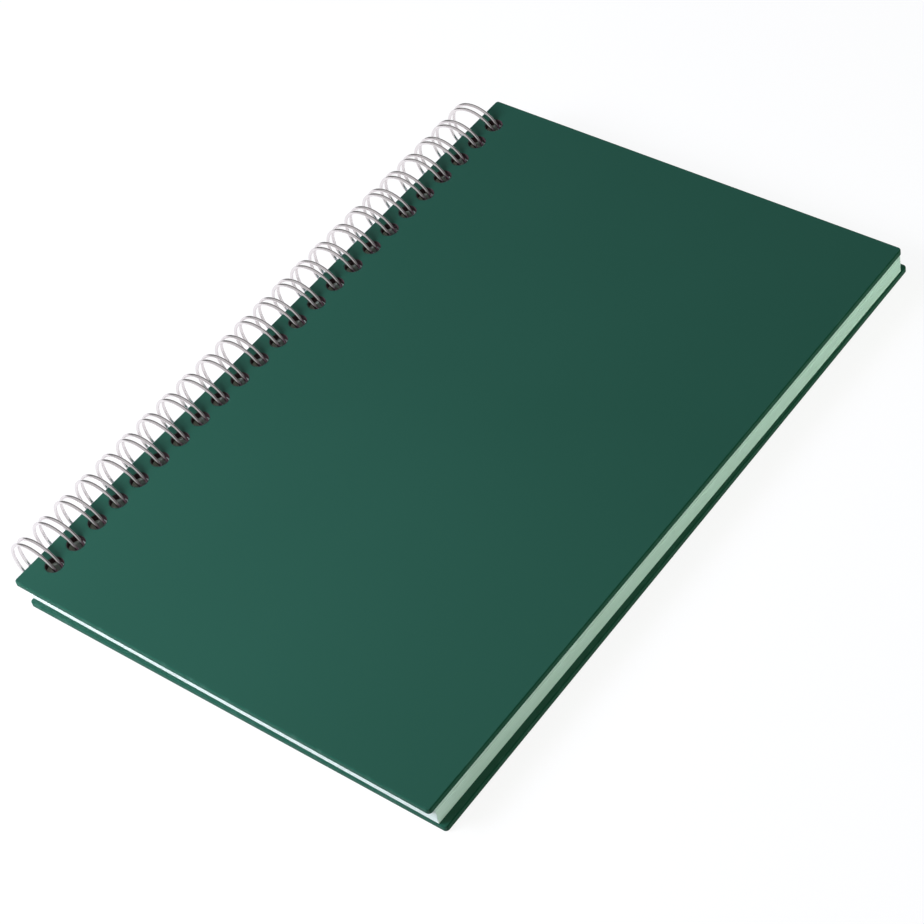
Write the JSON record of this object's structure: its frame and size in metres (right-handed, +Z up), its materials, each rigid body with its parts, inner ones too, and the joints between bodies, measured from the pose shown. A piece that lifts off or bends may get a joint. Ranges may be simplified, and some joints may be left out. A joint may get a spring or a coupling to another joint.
{
  "type": "spiral notebook",
  "caption": "Closed hard-cover notebook: two dark green boards and a block of white sheets on a twin-loop metal wire along the long edge; both covers turn about the wire.",
  "frame": {"origin": "on the table under the middle of the resting notebook's bounding box", "axes": "+X from the bound spine to the fore-edge, +Y along the wire from tail to head, +Z up, with the front cover on top"},
  "size_m": [0.153, 0.2158, 0.0195],
  "materials": {
    "cover_board": "smooth satin laminate",
    "pages": "uncoated matt",
    "wire": "satin silver"
  },
  "bodies": {
    "block": {"page_block": "pages", "wire_binding": "wire"},
    "front": {"front_cover": "cover_board"},
    "back": {"back_cover": "cover_board"}
  },
  "joints": [
    {"name": "front_cover_hinge", "type": "hinge", "parent": "block", "child": "front", "pos_m": [-0.06673, 0, 0.00978], "axis": [0, -1, 0], "range_deg": [0, 180]},
    {"name": "back_cover_hinge", "type": "hinge", "parent": "block", "child": "back", "pos_m": [-0.06673, 0, 0.00978], "axis": [0, 1, 0], "range_deg": [0, 180]}
  ]
}
